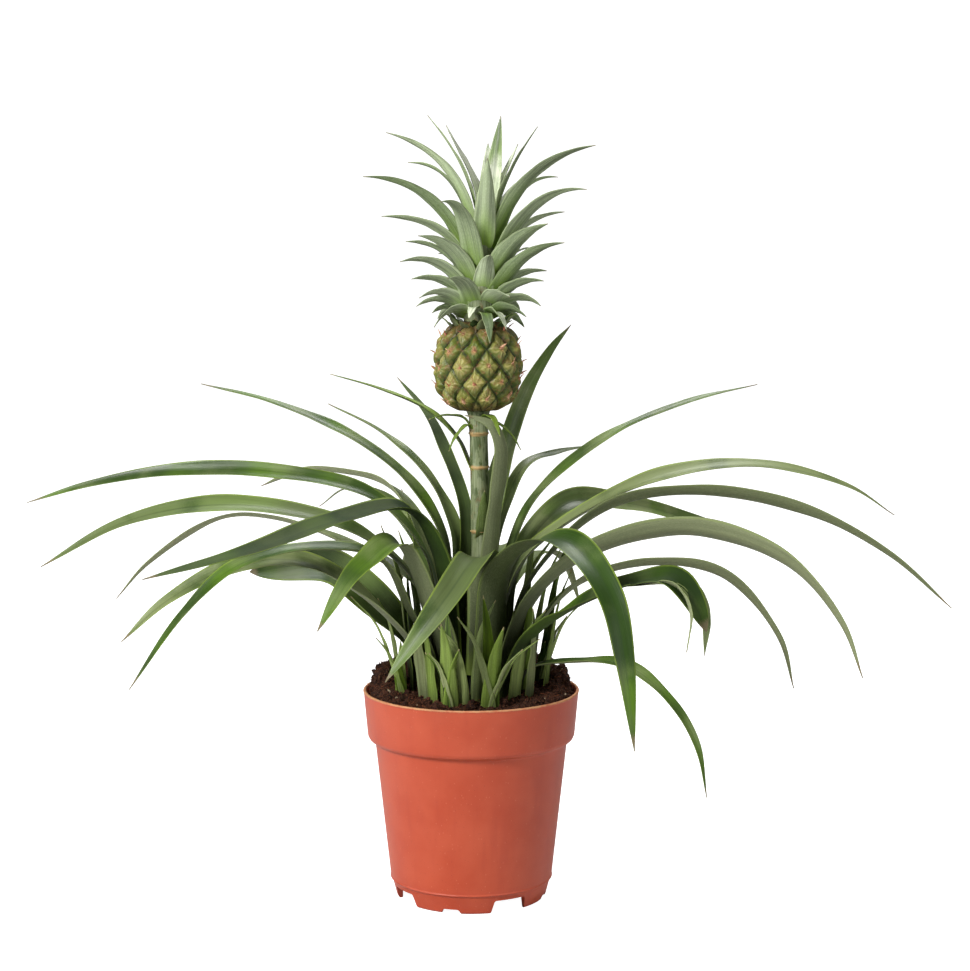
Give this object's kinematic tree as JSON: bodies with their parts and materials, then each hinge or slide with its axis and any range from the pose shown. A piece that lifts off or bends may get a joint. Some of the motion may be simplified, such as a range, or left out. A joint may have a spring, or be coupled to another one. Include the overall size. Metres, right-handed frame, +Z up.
{
  "type": "potted pineapple plant",
  "caption": "Small ornamental pineapple plant in a round plastic grower pot: arching channelled leaves, a short stalk, a young fruit and a leafy crown.",
  "frame": {"origin": "on the surface the pot stands on, under the middle of the pot", "axes": "+Z up along the pot's axis, +X to the right and -Y towards the front, where the widest spread of leaves runs along X"},
  "size_m": [0.5152, 0.2441, 0.4392],
  "materials": {
    "pot": "terracotta-coloured moulded plastic with a soft sheen and pale scuffs",
    "soil": "dark brown granular peat with fibres",
    "stem": "grey-green stalk with dark blotches and tan scars",
    "leaf": "satin green leaf with grey scurf underneath and bright margins",
    "crown": "silvery grey-green crown leaf with yellow-green base",
    "shoot": "pale green young shoot",
    "fruit": "olive-green young fruit rind with tan dried eyes"
  },
  "bodies": {
    "root": {"pot": "pot", "soil": "soil", "stem": "stem", "leaf_01": "leaf", "leaf_02": "leaf", "leaf_03": "leaf", "leaf_04": "leaf", "leaf_05": "leaf", "leaf_06": "leaf", "leaf_07": "leaf", "leaf_08": "leaf", "leaf_09": "leaf", "leaf_10": "leaf", "leaf_11": "leaf", "leaf_12": "leaf", "leaf_13": "leaf", "leaf_14": "leaf", "leaf_15": "leaf", "leaf_16": "leaf", "leaf_17": "leaf", "leaf_18": "leaf", "leaf_19": "leaf", "leaf_20": "leaf", "leaf_21": "leaf", "leaf_22": "leaf", "leaf_23": "leaf", "leaf_24": "leaf", "leaf_25": "leaf", "leaf_26": "leaf", "leaf_27": "leaf", "leaf_28": "leaf", "leaf_29": "leaf", "leaf_30": "leaf", "shoot_front_left": "shoot", "shoot_front_right": "shoot", "shoot_left": "shoot", "shoot_right": "shoot", "shoot_back": "shoot", "fruit": "fruit", "crown": "crown"}
  },
  "joints": []
}
